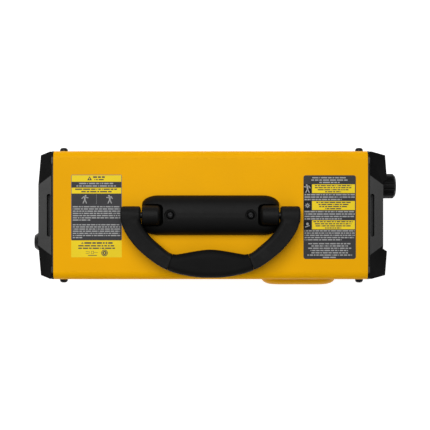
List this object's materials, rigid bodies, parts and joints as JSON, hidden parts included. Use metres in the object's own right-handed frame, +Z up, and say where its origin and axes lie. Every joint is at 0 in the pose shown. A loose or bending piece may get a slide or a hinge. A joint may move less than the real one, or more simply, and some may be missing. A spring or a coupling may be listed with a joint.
{
  "type": "portable welding power source",
  "caption": "Box-shaped inverter welding power source: yellow sheet cover, black bumper bezels, fold-down carry handle, control knob, output sockets and rear fan.",
  "frame": {"origin": "centre of the whole object's box at the surface it stands on", "axes": "+X towards the front control panel, +Z up, +Y to the side away from the pressed bulge"},
  "size_m": [0.4624, 0.1732, 0.3083],
  "materials": {
    "yellow_paint": "satin powder coat",
    "black_nylon": "fine moulded grain",
    "soft_grip": "soft matte",
    "black_rubber": "matte",
    "black_screw": "black oxide",
    "zinc_steel": "zinc plated",
    "brass": "machined",
    "copper": "bright copper",
    "aluminium": "extruded",
    "circuit_board": "solder mask",
    "ferrite": "sintered",
    "module_case": "moulded epoxy",
    "winding": "enamelled copper wire",
    "dark_lens": "polished",
    "fan_plastic": "moulded",
    "red_switch": "gloss",
    "lead_jacket": "satin"
  },
  "bodies": {
    "case": {"base_tray": "zinc_steel", "bus_capacitor_1": "module_case", "bus_capacitor_2": "module_case", "choke_bracket": "zinc_steel", "control_board": "circuit_board", "control_lead": "lead_jacket", "cover_screw_1": "black_screw", "cover_screw_2": "black_screw", "cover_screw_3": "black_screw", "cover_screw_4": "black_screw", "cover_screw_5": "black_screw", "cover_screw_6": "black_screw", "cover_screw_7": "black_screw", "cover_screw_8": "black_screw", "display_lens": "dark_lens", "display_module": "fan_plastic", "fan_frame": "fan_plastic", "foot_1": "black_rubber", "foot_2": "black_rubber", "foot_3": "black_rubber", "foot_4": "black_rubber", "front_bezel": "black_nylon", "front_panel": "black_nylon", "gland_body": "black_nylon", "gland_nut": "black_nylon", "handle_backing_plate": "zinc_steel", "handle_base": "black_nylon", "handle_screw_front": "black_screw", "handle_screw_rear": "black_screw", "inverter_heatsink": "aluminium", "inverter_module": "module_case", "mains_lead": "lead_jacket", "negative_busbar": "copper", "negative_contact": "brass", "negative_socket": "black_nylon", "output_choke": "winding", "output_heatsink": "aluminium", "pivot_bolt_front": "black_screw", "pivot_bolt_rear": "black_screw", "positive_busbar": "copper", "positive_contact": "brass", "positive_socket": "black_nylon", "potentiometer": "zinc_steel", "power_board": "circuit_board", "rear_bezel": "black_nylon", "rear_panel": "black_nylon", "rectifier_module": "module_case", "switch_housing": "fan_plastic", "switch_lead": "lead_jacket", "top_cover": "yellow_paint", "transformer_core": "ferrite", "transformer_winding": "winding"},
    "handle": {"handle_bail": "black_nylon", "handle_grip": "soft_grip"},
    "knob": {"control_knob": "black_nylon", "potentiometer_shaft": "zinc_steel"},
    "mode_key": {"mode_button": "fan_plastic"},
    "arc_force_key": {"arc_force_button": "fan_plastic"},
    "rocker": {"power_rocker": "red_switch"},
    "rotor": {"fan_rotor": "fan_plastic"}
  },
  "joints": [
    {"name": "handle_fold", "type": "hinge", "parent": "case", "child": "handle", "pos_m": [-0.005, 0.00185, 0.295], "axis": [-1, 0, 0], "range_deg": [0, 180]},
    {"name": "knob_turn", "type": "hinge", "parent": "case", "child": "knob", "pos_m": [0.2064, 0.03915, 0.23], "axis": [1, 0, 0], "range_deg": [-140, 140]},
    {"name": "power_rocker_tip", "type": "hinge", "parent": "case", "child": "rocker", "pos_m": [-0.2077, 0.03585, 0.224], "axis": [0, 1, 0], "range_deg": [0, 20]},
    {"name": "mode_button_press", "type": "slide", "parent": "case", "child": "mode_key", "axis": [-1, 0, 0], "range_m": [0, 0.001], "stiffness_N_per_m": 500, "springref_m": -0.0005},
    {"name": "arc_force_button_press", "type": "slide", "parent": "case", "child": "arc_force_key", "axis": [-1, 0, 0], "range_m": [0, 0.001], "stiffness_N_per_m": 500, "springref_m": -0.0005},
    {"name": "fan_spin", "type": "hinge", "parent": "case", "child": "rotor", "pos_m": [-0.1909, 0.00185, 0.118], "axis": [1, 0, 0], "continuous": true}
  ]
}
